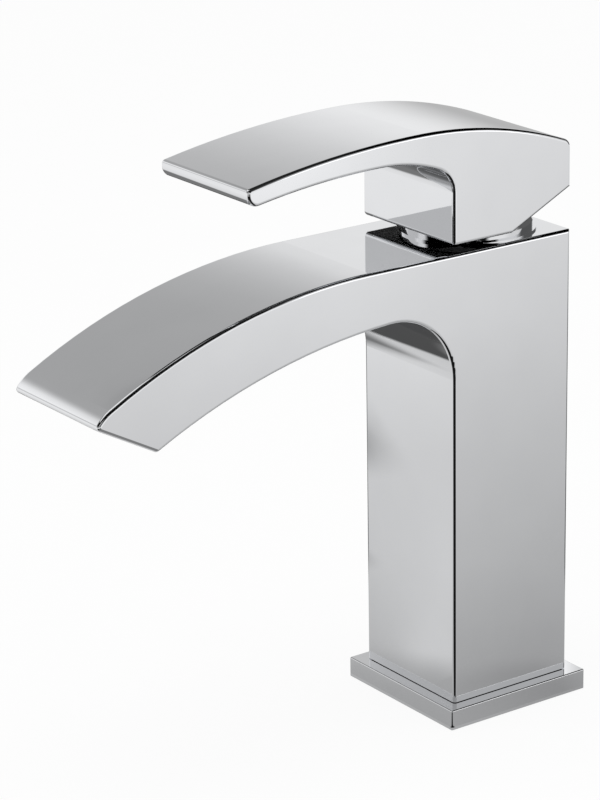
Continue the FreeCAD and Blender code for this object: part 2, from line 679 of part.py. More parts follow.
def housing_o_ring():
    body = new_body("housing_o_ring")
    low = "derived.ring_z - dims.ring_section"
    high = "derived.ring_z + dims.ring_section"
    turned(body, "ring", [
        ("derived.ring_radius + dims.ring_section", "derived.ring_z", "dims.ring_section", 1),
        ("derived.ring_radius", high, "dims.ring_section", 1),
        ("derived.ring_radius - dims.ring_section", "derived.ring_z", "dims.ring_section", 1),
        ("derived.ring_radius", low, "dims.ring_section", 1),
    ])


def limit_ring():
    body = new_body("limit_ring")
    turned(body, "ring", tube("derived.stop_ring_inner", "derived.neck_radius",
                              "derived.neck_top", "derived.guide_top"), angle="derived.stop_ring_angle")


def cartridge_base():
    body = new_body("cartridge_base")
    spigot = "derived.housing_bore - dims.fit_gap"
    turned(body, "block", [
        ("0", "derived.floor_z"),
        ("derived.housing_radius", "derived.floor_z"),
        ("derived.housing_radius", "derived.base_step"),
        (spigot, "derived.base_step"),
        (spigot, "derived.fixed_disc_bottom"),
        ("0", "derived.fixed_disc_bottom"),
    ])
    middle = "(derived.floor_z + derived.fixed_disc_bottom) / 2"
    seat_bottom = "derived.fixed_disc_bottom - dims.disc_seal_height"
    drain_bottom = "derived.floor_z + dims.drain_floor"
    for side_name, sign in (("hot", "-"), ("cold", "")):
        turned(body, f"{side_name}_inlet", [
            ("0", "derived.floor_z"),
            ("dims.inlet_radius + dims.seal_width", "derived.floor_z"),
            ("dims.inlet_radius + dims.seal_width", "derived.floor_z + dims.seal_height"),
            ("dims.inlet_radius", "derived.floor_z + dims.seal_height"),
            ("dims.inlet_radius", middle),
            ("0", middle),
        ], at=(f"{sign}dims.inlet_side", "-dims.inlet_front", "0"), cut=True)
        turned(body, f"{side_name}_port", [
            ("0", middle),
            ("dims.inlet_port_radius", middle),
            ("dims.inlet_port_radius", seat_bottom),
            ("dims.inlet_port_radius + dims.disc_seal_width", seat_bottom),
            ("dims.inlet_port_radius + dims.disc_seal_width", "derived.fixed_disc_bottom"),
            ("0", "derived.fixed_disc_bottom"),
        ], at=(f"{sign}derived.inlet_port_side", "-dims.inlet_port_front", "0"), cut=True)
        turned(body, f"{side_name}_pin",
               tube("0", "dims.base_pin_radius", "derived.floor_z - dims.base_pin_length", drain_bottom),
               at=(f"{sign}dims.base_pin_side", "dims.base_pin_back", "0"))
    turned(body, "mixed_port", [
        ("0", drain_bottom),
        ("dims.outlet_port_radius", drain_bottom),
        ("dims.outlet_port_radius", seat_bottom),
        ("dims.outlet_port_radius + dims.disc_seal_width", seat_bottom),
        ("dims.outlet_port_radius + dims.disc_seal_width", "derived.fixed_disc_bottom"),
        ("0", "derived.fixed_disc_bottom"),
    ], at=("0", "dims.outlet_port_back", "0"), cut=True)
    extruded(body, "drain", "XY_Plane",
             rectangle("-dims.drain_width / 2", "dims.drain_width / 2",
                       "dims.outlet_port_back", "derived.housing_radius"),
             drain_bottom, "derived.base_step", cut=True)


def cartridge_seals():
    for side_name, sign in (("hot", "-"), ("cold", "")):
        ring(f"inlet_seal_{side_name}", "dims.inlet_radius",
             "dims.inlet_radius + dims.seal_width - dims.fit_gap / 2",
             "derived.floor_z", "derived.floor_z + dims.seal_height",
             (f"{sign}dims.inlet_side", "-dims.inlet_front", "0"))
        ring(f"disc_seal_{side_name}", "dims.inlet_port_radius",
             "dims.inlet_port_radius + dims.disc_seal_width - dims.fit_gap / 2",
             "derived.fixed_disc_bottom - dims.disc_seal_height", "derived.fixed_disc_bottom",
             (f"{sign}derived.inlet_port_side", "-dims.inlet_port_front", "0"))
    ring("disc_seal_mixed", "dims.outlet_port_radius",
         "dims.outlet_port_radius + dims.disc_seal_width - dims.fit_gap / 2",
         "derived.fixed_disc_bottom - dims.disc_seal_height", "derived.fixed_disc_bottom",
         ("0", "dims.outlet_port_back", "0"))


def fixed_disc():
    body = new_body("fixed_disc")
    low = "derived.fixed_disc_bottom"
    high = "derived.fixed_disc_top"
    turned(body, "disc", tube("0", "derived.housing_bore - dims.fit_gap", low, high))
    for side_name, sign in (("hot", "-"), ("cold", "")):
        turned(body, f"{side_name}_port", tube("0", "dims.inlet_port_radius", low, high),
               at=(f"{sign}derived.inlet_port_side", "-dims.inlet_port_front", "0"), cut=True)
    turned(body, "mixed_port", tube("0", "dims.outlet_port_radius", low, high),
           at=("0", "dims.outlet_port_back", "0"), cut=True)


def moving_disc():
    body = new_body("moving_disc")
    low = "derived.moving_disc_bottom"
    turned(body, "disc", tube("0", "dims.disc_radius", low, "derived.moving_disc_top"),
           at=("0", "derived.carrier_back", "0"))
    pocket = tube("0", "dims.mixing_pocket_radius", low, f"{low} + dims.mixing_pocket_depth")
    turned(body, "mixing_pocket", pocket, at=("0", "dims.mixing_pocket_back", "0"), cut=True)


def disc_carrier():
    body = new_body("disc_carrier")
    low = "derived.moving_disc_top"
    flange_top = f"{low} + dims.carrier_flange"
    turned(body, "flange", tube("0", "dims.disc_radius", low, flange_top),
           at=("0", "derived.carrier_back", "0"))
    extruded(body, "hub", "XY_Plane",
             rectangle("-derived.carrier_side", "derived.carrier_side",
                       "derived.carrier_back - derived.carrier_reach",
                       "derived.carrier_back + derived.carrier_reach"),
             flange_top, "derived.carrier_top")
    turned(body, "ball_socket", tube("0", "derived.ball_room_side", low, "derived.carrier_top"), cut=True)


def stem_guide():
    body = new_body("stem_guide")
    flange = "derived.housing_bore - dims.slide_gap"
    turned(body, "neck", [
        ("0", "derived.guide_flange_bottom"),
        (flange, "derived.guide_flange_bottom"),
        (flange, "derived.guide_flange_top"),
        ("derived.guide_radius", "derived.guide_flange_top"),
        ("derived.guide_radius", "derived.guide_top"),
        ("0", "derived.guide_top"),
    ])
    rail_bottom = "derived.moving_disc_top + dims.carrier_flange + dims.slide_gap"
    for side_name, near_edge, far_edge in (
            ("hot", "-derived.rail_outer", "-derived.rail_inner"),
            ("cold", "derived.rail_inner", "derived.rail_outer")):
        extruded(body, f"{side_name}_rail", "XY_Plane",
                 rectangle(near_edge, far_edge, "-derived.rail_reach", "derived.rail_reach"),
                 rail_bottom, "derived.guide_flange_bottom")
    extruded(body, "stop", "XY_Plane",
             rectangle("-dims.stop_width / 2", "dims.stop_width / 2",
                       "-derived.neck_radius", "-derived.slot_reach"),
             "derived.neck_top + dims.fit_gap", "derived.guide_top")
    extruded(body, "stem_slot", "XY_Plane",
             rectangle("-derived.slot_side", "derived.slot_side",
                       "-derived.slot_reach", "derived.slot_reach"),
             "derived.guide_flange_bottom", "derived.guide_top", cut=True)
    extruded(body, "ball_room", "XY_Plane",
             rectangle("-derived.ball_room_side", "derived.ball_room_side",
                       "-derived.slide_travel - derived.ball_room_side", "0"),
             "derived.guide_flange_bottom", "derived.guide_flange_top", cut=True)
    extruded(body, "pin_hole", "YZ_Plane", round_hole("dims.pin_radius + dims.pin_gap"),
             "-derived.guide_radius", "derived.guide_radius", cut=True, at=("0", "derived.pivot_z"))


def round_hole(radius):
    """Full circle as four quarter arcs about the sketch's origin."""
    return [(radius, "0", radius, 1), ("0", radius, radius, 1),
            (f"-({radius})", "0", radius, 1), ("0", f"-({radius})", radius, 1)]


def pivot_pin():
    body = new_body("pivot_pin")
    reach = "derived.guide_radius - dims.guide_wall / 2"
    extruded(body, "pin", "YZ_Plane", round_hole("dims.pin_radius"), f"-({reach})", reach,
             at=("0", "derived.pivot_z"))


def stem():
    body = new_body("stem")
    half = "dims.stem_width / 2"
    shank_bottom = "derived.pivot_z - dims.shank_depth"
    ball_top = "derived.ball_z + sqrt(dims.ball_radius ^ 2 - dims.ball_neck_radius ^ 2)"
    turned(body, "ball", [
        ("0", "derived.ball_z - dims.ball_radius"),
        ("dims.ball_radius", "derived.ball_z", "dims.ball_radius", 1),
        ("dims.ball_neck_radius", ball_top, "dims.ball_radius", 1),
        ("dims.ball_neck_radius", shank_bottom),
        ("0", shank_bottom),
    ])
    extruded(body, "shank", "XY_Plane", rectangle(f"-{half}", half, f"-{half}", half),
             shank_bottom, "derived.stem_top")
    extruded(body, "pin_hole", "YZ_Plane", round_hole("dims.pin_radius + dims.run_gap"),
             f"-{half}", half, cut=True, at=("0", "derived.pivot_z"))


def lever_handle():
    body = new_body("lever_handle")
    half = "derived.half_width"
    front = "-derived.half_width"
    root_y = "derived.root_back * derived.root_scale - dims.lever_crest"
    root_z = "derived.root_centre + derived.root_drop * derived.root_scale"
    profile = extruded(body, "block_and_lever", "YZ_Plane", [
        (front, "derived.handle_bottom"),
        ("0", "derived.handle_bottom"),
        (half, "derived.bevel_top"),
        (half, "derived.back_top"),
        ("-dims.crest_front", "derived.crest_z", "dims.crest_back_radius", 1),
        ("-dims.lever_reach", "derived.tip_top", "dims.crest_front_radius", 1),
        ("-dims.lever_reach", "derived.tip_bottom"),
        ("-dims.lever_crest", "derived.under_crest", "dims.lever_under_radius", -1),
        (root_y, root_z, "dims.lever_root_radius", -1),
        (front, "derived.root_centre + derived.root_drop", "dims.lever_root_fillet", -1),
    ], "-derived.half_width", half)
    back = rounded(body, "back_edge", profile, edge_along_x(value(half), value("derived.back_top")),
                   "dims.back_round")
    tip = -value("dims.lever_reach")
    block_foot = edge_along_x(-value(half), value("derived.handle_bottom"))
    bottom = rounded(body, "bottom_edge", back, block_foot, "derived.end_round")
    tip_above = edge_along_x(tip, value("derived.tip_top"))
    tip_below = edge_along_x(tip, value("derived.tip_bottom"))
    tip_edge = rounded(body, "tip_edge", bottom, tip_above, "derived.end_round")
    nose = rounded(body, "nose", tip_edge, tip_below, "derived.nose_round")
    rounded(body, "soft_edges", nose, side_edge(value(half), 0), "dims.edge_round")
    turned(body, "collar_cavity", [
        ("derived.cavity_radius", "derived.pivot_z"),
        ("0", "derived.pivot_z + derived.cavity_radius", "derived.cavity_radius", 1),
        ("0", "derived.pivot_z"),
    ], cut=True)
    socket = "dims.stem_width / 2 + dims.fit_gap"
    extruded(body, "stem_socket", "XY_Plane", rectangle(f"-({socket})", socket, f"-({socket})", socket),
             "derived.pivot_z", "derived.stem_top + dims.fit_gap", cut=True)
    extruded(body, "screw_hole", "XZ_Plane", round_hole("dims.screw_radius"), "0", half, cut=True,
             at=("0", "derived.screw_z"))
    extruded(body, "plug_seat", "XZ_Plane", round_hole("dims.plug_radius + dims.fit_gap"),
             "derived.half_width - dims.plug_depth", half, cut=True, at=("0", "derived.screw_z"))


def grub_screw():
    body = new_body("grub_screw")
    near_end = "dims.stem_width / 2"
    extruded(body, "shank", "XZ_Plane", round_hole("dims.screw_radius - dims.fit_gap"),
             near_end, "derived.screw_end", at=("0", "derived.screw_z"))
    extruded(body, "key", "XZ_Plane", hexagon("dims.screw_key"), "derived.screw_end - dims.screw_key_depth",
             "derived.screw_end", cut=True, at=("0", "derived.screw_z"))


def index_plug():
    body = new_body("index_plug")
    plug = extruded(body, "plug", "XZ_Plane", round_hole("dims.plug_radius"),
                    "derived.half_width - dims.plug_depth", "derived.half_width + dims.plug_crown",
                    at=("0", "derived.screw_z"))
    face = value("derived.half_width + dims.plug_crown")
    rounded(body, "crown", plug, lambda box: near(box.YMin, face) and near(box.YMax, face), "dims.plug_crown")


def aerator():
    housing = new_body("aerator_housing")
    turned(housing, "shell", [
        ("derived.aerator_inner - dims.aerator_lip_width", "dims.aerator_recess"),
        ("derived.aerator_outer", "dims.aerator_recess"),
        ("derived.aerator_outer", "derived.aerator_top"),
        ("derived.aerator_inner", "derived.aerator_top"),
        ("derived.aerator_inner", "derived.aerator_seat"),
        ("derived.aerator_inner - dims.aerator_lip_width", "derived.aerator_seat"),
    ])
    seat_in_outlet(housing)
    plate_radius = "derived.aerator_inner - dims.fit_gap"
    jet_plate("aerator_insert", "derived.aerator_seat", "derived.insert_top", plate_radius, INSERT_RINGS)
    jet_plate("aerator_screen", "derived.insert_top", "derived.insert_top + dims.aerator_screen_thickness",
              plate_radius, SCREEN_RINGS)
    seat_in_outlet(ring("aerator_seal", "derived.aerator_inner", "derived.aerator_outer",
                        "derived.aerator_top", "dims.aerator_depth"))


spout_body()
base_plate()
ring("deck_gasket", "derived.gasket_inner + dims.fit_gap", "derived.gasket_outer - dims.fit_gap",
     "0", "dims.gasket_thickness")
ring("collar_washer", "derived.thread_radius", "derived.half_width - dims.washer_margin",
     "dims.body_height", "derived.collar_seat")
collar()
cartridge_nut()
cartridge_housing()
housing_o_ring()
limit_ring()
cartridge_base()
cartridge_seals()
fixed_disc()
moving_disc()
disc_carrier()
stem_guide()
pivot_pin()
stem()
lever_handle()
grub_screw()
index_plug()
aerator()
doc.recompute()

faults = [item.Label for item in doc.Objects if {"Invalid", "Error"} & set(item.State)]
faults += [body.Label for body in SUB_PARTS if body.Shape.isNull() or not body.Shape.isValid()]
if faults:
    raise ValueError(f"failed objects: {faults}")

os.makedirs("parts", exist_ok=True)
for body in SUB_PARTS:
    body.Shape.exportStep(f"parts/{body.Label}.step")
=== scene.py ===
import json
import math

import bpy
from mathutils import Matrix, Vector


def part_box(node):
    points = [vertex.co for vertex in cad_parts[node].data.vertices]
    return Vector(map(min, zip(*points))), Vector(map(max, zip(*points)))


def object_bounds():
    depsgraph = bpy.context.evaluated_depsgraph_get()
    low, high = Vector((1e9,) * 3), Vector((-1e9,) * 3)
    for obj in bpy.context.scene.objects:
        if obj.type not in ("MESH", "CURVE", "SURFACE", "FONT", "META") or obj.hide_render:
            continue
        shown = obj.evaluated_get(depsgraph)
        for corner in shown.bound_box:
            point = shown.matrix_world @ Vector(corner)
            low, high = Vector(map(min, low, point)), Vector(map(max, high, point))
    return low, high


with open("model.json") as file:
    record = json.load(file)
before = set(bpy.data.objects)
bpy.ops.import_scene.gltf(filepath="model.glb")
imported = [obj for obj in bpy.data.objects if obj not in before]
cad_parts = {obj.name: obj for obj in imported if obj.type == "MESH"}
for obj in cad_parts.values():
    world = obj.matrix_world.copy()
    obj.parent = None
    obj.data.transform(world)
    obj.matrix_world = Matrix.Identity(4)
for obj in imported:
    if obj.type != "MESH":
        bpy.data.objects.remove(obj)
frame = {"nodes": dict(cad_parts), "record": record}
cad_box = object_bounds()

# Polished chrome basin mixer on a white table. Metres and degrees; the spout points to -Y.

# Node helpers.


class Nodes:
    """A material's or world's node tree, with short calls to add and join nodes."""

    def __init__(self, owner):
        owner.use_nodes = True
        self.tree = owner.node_tree
        self.tree.nodes.clear()

    def add(self, kind, **settings):
        node = self.tree.nodes.new(kind)
        for name, setting in settings.items():
            setattr(node, name, setting)
        return node

    def join(self, source, target):
        self.tree.links.new(source, target)

    def math(self, operation, *operands, clamp=False):
        node = self.add("ShaderNodeMath", operation=operation, use_clamp=clamp)
        for socket, operand in zip(node.inputs, operands):
            if isinstance(operand, (int, float)):
                socket.default_value = operand
            else:
                self.join(operand, socket)
        return node.outputs[0]

    def noise(self, coordinates, scale, detail=2.0, roughness=0.5):
        node = self.add("ShaderNodeTexNoise")
        node.inputs["Scale"].default_value = scale
        node.inputs["Detail"].default_value = detail
        node.inputs["Roughness"].default_value = roughness
        self.join(coordinates, node.inputs["Vector"])
        return node.outputs["Fac"]

    def spread(self, value, low, high, from_low=0.0, from_high=1.0, smooth=False):
        node = self.add("ShaderNodeMapRange", interpolation_type="SMOOTHSTEP" if smooth else "LINEAR")
        limits = {"From Min": from_low, "From Max": from_high, "To Min": low, "To Max": high}
        for name, limit in limits.items():
            node.inputs[name].default_value = limit
        self.join(value, node.inputs["Value"])
        return node.outputs["Result"]

    def ramp(self, value, stops):
        node = self.add("ShaderNodeValToRGB")
        elements = node.color_ramp.elements
        while len(elements) < len(stops):
            elements.new(0.5)
        for element, (position, colour) in zip(elements, stops):
            element.position = position
            element.color = (*colour, 1.0)
        self.join(value, node.inputs["Fac"])
        return node.outputs["Color"]

    def tones(self, noise, dark, light, low=0.3, high=0.7):
        """Colour that goes from dark to light over a noise's middle values."""
        return self.ramp(noise, [(low, dark), (high, light)])

    def blend(self, factor, first, second):
        """Mix of two colours, each a socket or a fixed colour."""
        node = self.add("ShaderNodeMix", data_type="RGBA")
        self.join(factor, node.inputs["Factor"])
        for name, colour in (("A", first), ("B", second)):
            if isinstance(colour, tuple):
                node.inputs[name].default_value = (*colour, 1.0)
            else:
                self.join(colour, node.inputs[name])
        return node.outputs["Result"]

    def layered(self, factor, under, over):
        """Mix of two shaders: under at 0 and over at 1."""
        node = self.add("ShaderNodeMixShader")
        self.join(factor, node.inputs["Fac"])
        self.join(under, node.inputs[1])
        self.join(over, node.inputs[2])
        return node.outputs["Shader"]

    def parts(self, vector):
        """A vector's X, Y and Z, by name."""
        node = self.add("ShaderNodeSeparateXYZ")
        self.join(vector, node.inputs["Vector"])
        return node.outputs

    def distance(self, coordinates, point):
        node = self.add("ShaderNodeVectorMath", operation="DISTANCE")
        self.join(coordinates, node.inputs[0])
        node.inputs[1].default_value = point
        return node.outputs["Value"]

    def bump(self, height, distance, strength=1.0):
        node = self.add("ShaderNodeBump")
        node.inputs["Strength"].default_value = strength
        node.inputs["Distance"].default_value = distance
        self.join(height, node.inputs["Height"])
        return node.outputs["Normal"]

    def seen(self, path):
        """1 for what the camera, metal and glass see, and 0 for light on dull surfaces."""
        either = self.math("MAXIMUM", path.outputs["Is Camera Ray"], path.outputs["Is Glossy Ray"])
        return self.math("MAXIMUM", either, path.outputs["Is Transmission Ray"])


def grey(level):
    return (level, level, level)


def new_surface(name):
    """A material with its node tree, its principled shader's inputs and its object coordinates."""
    material = bpy.data.materials.new(name)
    nodes = Nodes(material)
    shader = nodes.add("ShaderNodeBsdfPrincipled")
    output = nodes.add("ShaderNodeOutputMaterial")
    nodes.join(shader.outputs["BSDF"], output.inputs["Surface"])
    place = nodes.add("ShaderNodeTexCoord").outputs["Object"]
    return material, nodes, shader.inputs, place


# Materials. The handle's underside and its recess, a ball about the middle of the stem's pin, get painted
# shade.

PIVOT = [(low + high) / 2 for low, high in zip(*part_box("pivot_pin"))]
RECESS_RADIUS = 0.0228
PAINTED_SHADE_DEPTH = 0.00017
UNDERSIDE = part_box("lever_handle")[0][2] + PAINTED_SHADE_DEPTH
PAINTED_SHADE_ROUGHNESS = 0.6
CHROME_DARK = (0.763, 0.77, 0.785)
CHROME_LIGHT = (0.788, 0.795, 0.81)
TOOL_MARKS = 900.0
TOOL_WOBBLE = 1.5
HOT_RED = (0.52, 0.012, 0.016)
COLD_BLUE = (0.01, 0.06, 0.42)
INDEX_BLEND = 0.0002
INDEX_GLOSS = 0.3


def chrome(name, painted_dark_underside=False):
    """Polished plating. On the handle, the underside and the round recess are painted near-black and dull as
    painted shade.
    """
    material, nodes, inputs, place = new_surface(name)
    inputs["Metallic"].default_value = 1.0
    tone = nodes.noise(place, scale=45.0, detail=3.0)
    colour = nodes.tones(tone, CHROME_DARK, CHROME_LIGHT, low=0.25, high=0.75)
    haze = nodes.noise(place, scale=120.0, detail=4.0, roughness=0.6)
    roughness = nodes.spread(haze, low=0.02, high=0.055, from_low=0.3, from_high=0.75)
    # Painted shade: near-black, rougher chrome under the handle and inside its recess.
    if painted_dark_underside:
        below = nodes.math("LESS_THAN", nodes.parts(place)["Z"], UNDERSIDE)
        inside = nodes.math("LESS_THAN", nodes.distance(place, PIVOT), RECESS_RADIUS)
        painted_shade = nodes.math("MAXIMUM", inside, below)
        colour = nodes.blend(painted_shade, colour, nodes.tones(haze, dark=grey(0.01), light=grey(0.02)))
        roughness = nodes.math("MAXIMUM", roughness, nodes.math("MULTIPLY", painted_shade, PAINTED_SHADE_ROUGHNESS))
    nodes.join(colour, inputs["Base Color"])
    nodes.join(roughness, inputs["Roughness"])
    ripple = nodes.noise(place, scale=70.0, detail=1.0)
    nodes.join(nodes.bump(ripple, distance=0.00002), inputs["Normal"])
    return material


def machined(name, dark, light, roughness):
    """Turned metal: fine rings of tool marks about the upright axis."""
    material, nodes, inputs, place = new_surface(name)
    inputs["Metallic"].default_value = 1.0
    rings = nodes.add("ShaderNodeTexWave", wave_type="RINGS", rings_direction="Z")
    rings.inputs["Scale"].default_value = TOOL_MARKS
    rings.inputs["Distortion"].default_value = TOOL_WOBBLE
    nodes.join(place, rings.inputs["Vector"])
    stain = nodes.noise(place, scale=160.0, detail=4.0)
    nodes.join(nodes.tones(stain, dark, light), inputs["Base Color"])
    nodes.join(nodes.spread(stain, *roughness), inputs["Roughness"])
    nodes.join(nodes.bump(rings.outputs["Fac"], distance=0.00002, strength=0.4), inputs["Normal"])
    return material


def moulded(name, dark, light, roughness, grain=1500.0):
    """Moulded plastic, rubber or ceramic with a fine grain."""
    material, nodes, inputs, place = new_surface(name)
    tone = nodes.noise(place, scale=130.0, detail=3.0)
    nodes.join(nodes.tones(tone, dark, light), inputs["Base Color"])
    nodes.join(nodes.spread(tone, *roughness), inputs["Roughness"])
    grains = nodes.noise(place, scale=grain)
    nodes.join(nodes.bump(grains, distance=0.00003, strength=0.35), inputs["Normal"])
    return material


def index_colours():
    """Gloss plastic, red on the hot side and blue on the cold side."""
    material, nodes, inputs, place = new_surface("index_red_blue")
    across = nodes.parts(place)["X"]
    cold = nodes.spread(across, low=0.0, high=1.0, from_low=-INDEX_BLEND, from_high=INDEX_BLEND)
    mottle = nodes.noise(place, scale=400.0)
    shaded = nodes.add("ShaderNodeVectorMath", operation="SCALE")
    nodes.join(nodes.blend(cold, HOT_RED, COLD_BLUE), shaded.inputs[0])
    nodes.join(nodes.spread(mottle, low=0.85, high=1.05), shaded.inputs["Scale"])
    nodes.join(shaded.outputs["Vector"], inputs["Base Color"])
    nodes.join(nodes.spread(mottle, low=0.12, high=0.2), inputs["Roughness"])
    inputs["Coat Weight"].default_value = INDEX_GLOSS
    return material


MATERIALS = {
    "chrome": chrome("polished_chrome"),
    "brass": machined("machined_brass", dark=(0.58, 0.41, 0.17), light=(0.75, 0.58, 0.29),
                      roughness=(0.22, 0.36)),
    "steel": machined("machined_steel", dark=(0.5, 0.5, 0.51), light=(0.64, 0.64, 0.65),
                      roughness=(0.2, 0.34)),
    "rubber": moulded("black_rubber", dark=(0.012, 0.012, 0.013), light=(0.03, 0.03, 0.031),
                      roughness=(0.55, 0.75), grain=2500.0),
    "ceramic": moulded("lapped_ceramic", dark=(0.82, 0.81, 0.78), light=(0.9, 0.89, 0.86),
                       roughness=(0.12, 0.2), grain=5000.0),
    "plastic": moulded("moulded_plastic", dark=(0.7, 0.71, 0.7), light=(0.78, 0.79, 0.77),
                       roughness=(0.4, 0.55)),
    "index": index_colours(),
}
for subpart in frame["record"]["subparts"]:
    node = frame["nodes"][subpart["node"]]
    node.data.materials.clear()
    node.data.materials.append(MATERIALS[subpart["material_slot"]])
# The handle's chrome has painted shade on its underside and in its recess.
frame["nodes"]["lever_handle"].data.materials[0] = chrome("handle_chrome_painted_shade", painted_dark_underside=True)

# Camera at the photograph's place.

CAMERA_PLACE = Vector((0.70853, -0.55978, 0.40079))
CAMERA_AZIMUTH = 54.842
CAMERA_ELEVATION = 18.878
CAMERA_ROLL = -0.996
LENS_LENGTH = 143.64
SENSOR_WIDTH = 36.0
NEAREST_SEEN = 0.05


def heading(azimuth, elevation=0.0):
    """Unit vector; azimuth 0 is along the spout and 90 is the cold side."""
    turn, lift = math.radians(azimuth), math.radians(elevation)
    return Vector((math.sin(turn) * math.cos(lift), -math.cos(turn) * math.cos(lift), math.sin(lift)))


def place_camera():
    back = heading(CAMERA_AZIMUTH, CAMERA_ELEVATION)
    right = heading(CAMERA_AZIMUTH + 90.0)
    up = back.cross(right)
    roll = math.radians(CAMERA_ROLL)
    camera_x = math.cos(roll) * right + math.sin(roll) * up
    camera_y = -math.sin(roll) * right + math.cos(roll) * up
    lens = bpy.data.cameras.new("camera")
    lens.lens = LENS_LENGTH
    lens.sensor_width = SENSOR_WIDTH
    lens.clip_start = NEAREST_SEEN
    camera = bpy.data.objects.new("camera", lens)
    turned = Matrix((camera_x, camera_y, back)).transposed().to_4x4()
    camera.matrix_world = Matrix.Translation(CAMERA_PLACE) @ turned
    bpy.context.collection.objects.link(camera)
    bpy.context.scene.camera = camera


place_camera()
bpy.context.scene.view_settings.view_transform = "Standard"

# Studio: white table, surroundings that darken with height, grey cards and soft lamps.
# SKY gives brightness by elevation. TABLE_SHADES gives the table's painted shade, seen only in the metal, by
# distance from the darkest place.

DULL_LIGHT = 0.62
SKY = [
    (0.0, 1.0), (14.0, 0.97), (18.0, 0.84), (21.5, 0.69), (25.0, 0.575), (28.0, 0.505),
    (31.0, 0.47), (36.0, 0.445), (37.0, 0.32), (38.0, 0.22), (40.0, 0.14), (44.0, 0.08),
    (48.0, 0.02), (82.0, 0.02), (87.0, 0.8), (90.0, 1.0),
]
TABLE_HALF = 6.0
TABLE_DROP = 0.0003
TABLE_GLOW = 0.92
TABLE_DARKEST = (0.03, 0.02, 0.0)
TABLE_REACH = 0.8
TABLE_SHADES = [
    (0.0, 0.36), (0.02, 0.42), (0.05, 0.485), (0.1, 0.57), (0.18, 0.65),
    (0.26, 0.735), (0.38, 0.86), (0.5, 0.94), (0.7, 1.0),
]
CARD_STEPS = 12
NEAR_CORNER = (0.0245, -0.0245)
NEAR_TABLE = (0.05, -0.05)
COLUMN_FRONT = (0.0, -0.02)
LIP_FRONT = (-0.05, -0.24)
SPOUT_END = (0.015, cad_box[0][1])
AXIS = (0.0, 0.0)


def surroundings():
    """White near the horizon, black above it, and a light patch straight overhead."""
    world = bpy.data.worlds.new("studio")
    bpy.context.scene.world = world
    nodes = Nodes(world)
    rise = nodes.parts(nodes.add("ShaderNodeTexCoord").outputs["Generated"])["Z"]
    stops = [(math.sin(math.radians(elevation)), grey(level)) for elevation, level in SKY]
    shown = nodes.add("ShaderNodeBackground")
    nodes.join(nodes.ramp(rise, stops), shown.inputs["Color"])
    dull = nodes.add("ShaderNodeBackground")
    dull.inputs["Color"].default_value = (*grey(DULL_LIGHT), 1.0)
    seen = nodes.seen(nodes.add("ShaderNodeLightPath"))
    surface = nodes.layered(seen, dull.outputs["Background"], shown.outputs["Background"])
    nodes.join(surface, nodes.add("ShaderNodeOutputWorld").inputs["Surface"])


def staged(name, corners, faces):
    mesh = bpy.data.meshes.new(name)
    mesh.from_pydata(corners, [], faces)
    thing = bpy.data.objects.new(name, mesh)
    bpy.context.collection.objects.link(thing)
    return thing


def table():
    """White table; in the metal it shows painted shade that darkens softly towards the tap."""
    corners = [(x * TABLE_HALF, y * TABLE_HALF, 0.0) for x, y in ((-1, -1), (1, -1), (1, 1), (-1, 1))]
    floor = staged("floor", corners, [(0, 1, 2, 3)])
    floor.location.z = -TABLE_DROP
    material = bpy.data.materials.new("white_table")
    nodes = Nodes(material)
    place = nodes.add("ShaderNodeTexCoord").outputs["Object"]
    paint = nodes.add("ShaderNodeBsdfDiffuse")
    grain = nodes.noise(place, scale=40.0, detail=3.0)
    nodes.join(nodes.tones(grain, dark=grey(0.86), light=grey(0.89)), paint.inputs["Color"])
    away = nodes.math("DIVIDE", nodes.distance(place, TABLE_DARKEST), TABLE_REACH, clamp=True)
    shade = nodes.ramp(away, [(distance / TABLE_REACH, grey(level)) for distance, level in TABLE_SHADES])
    path = nodes.add("ShaderNodeLightPath")
    glow = nodes.add("ShaderNodeEmission")
    # Painted shade: glossy rays see the table grey towards the tap, while the camera sees it white.
    nodes.join(nodes.blend(path.outputs["Is Glossy Ray"], grey(1.0), shade), glow.inputs["Color"])
    lit = nodes.math("MULTIPLY", nodes.seen(path), TABLE_GLOW)
    surface = nodes.layered(lit, paint.outputs["BSDF"], glow.outputs["Emission"])
    nodes.join(surface, nodes.add("ShaderNodeOutputMaterial").inputs["Surface"])
    floor.data.materials.append(material)


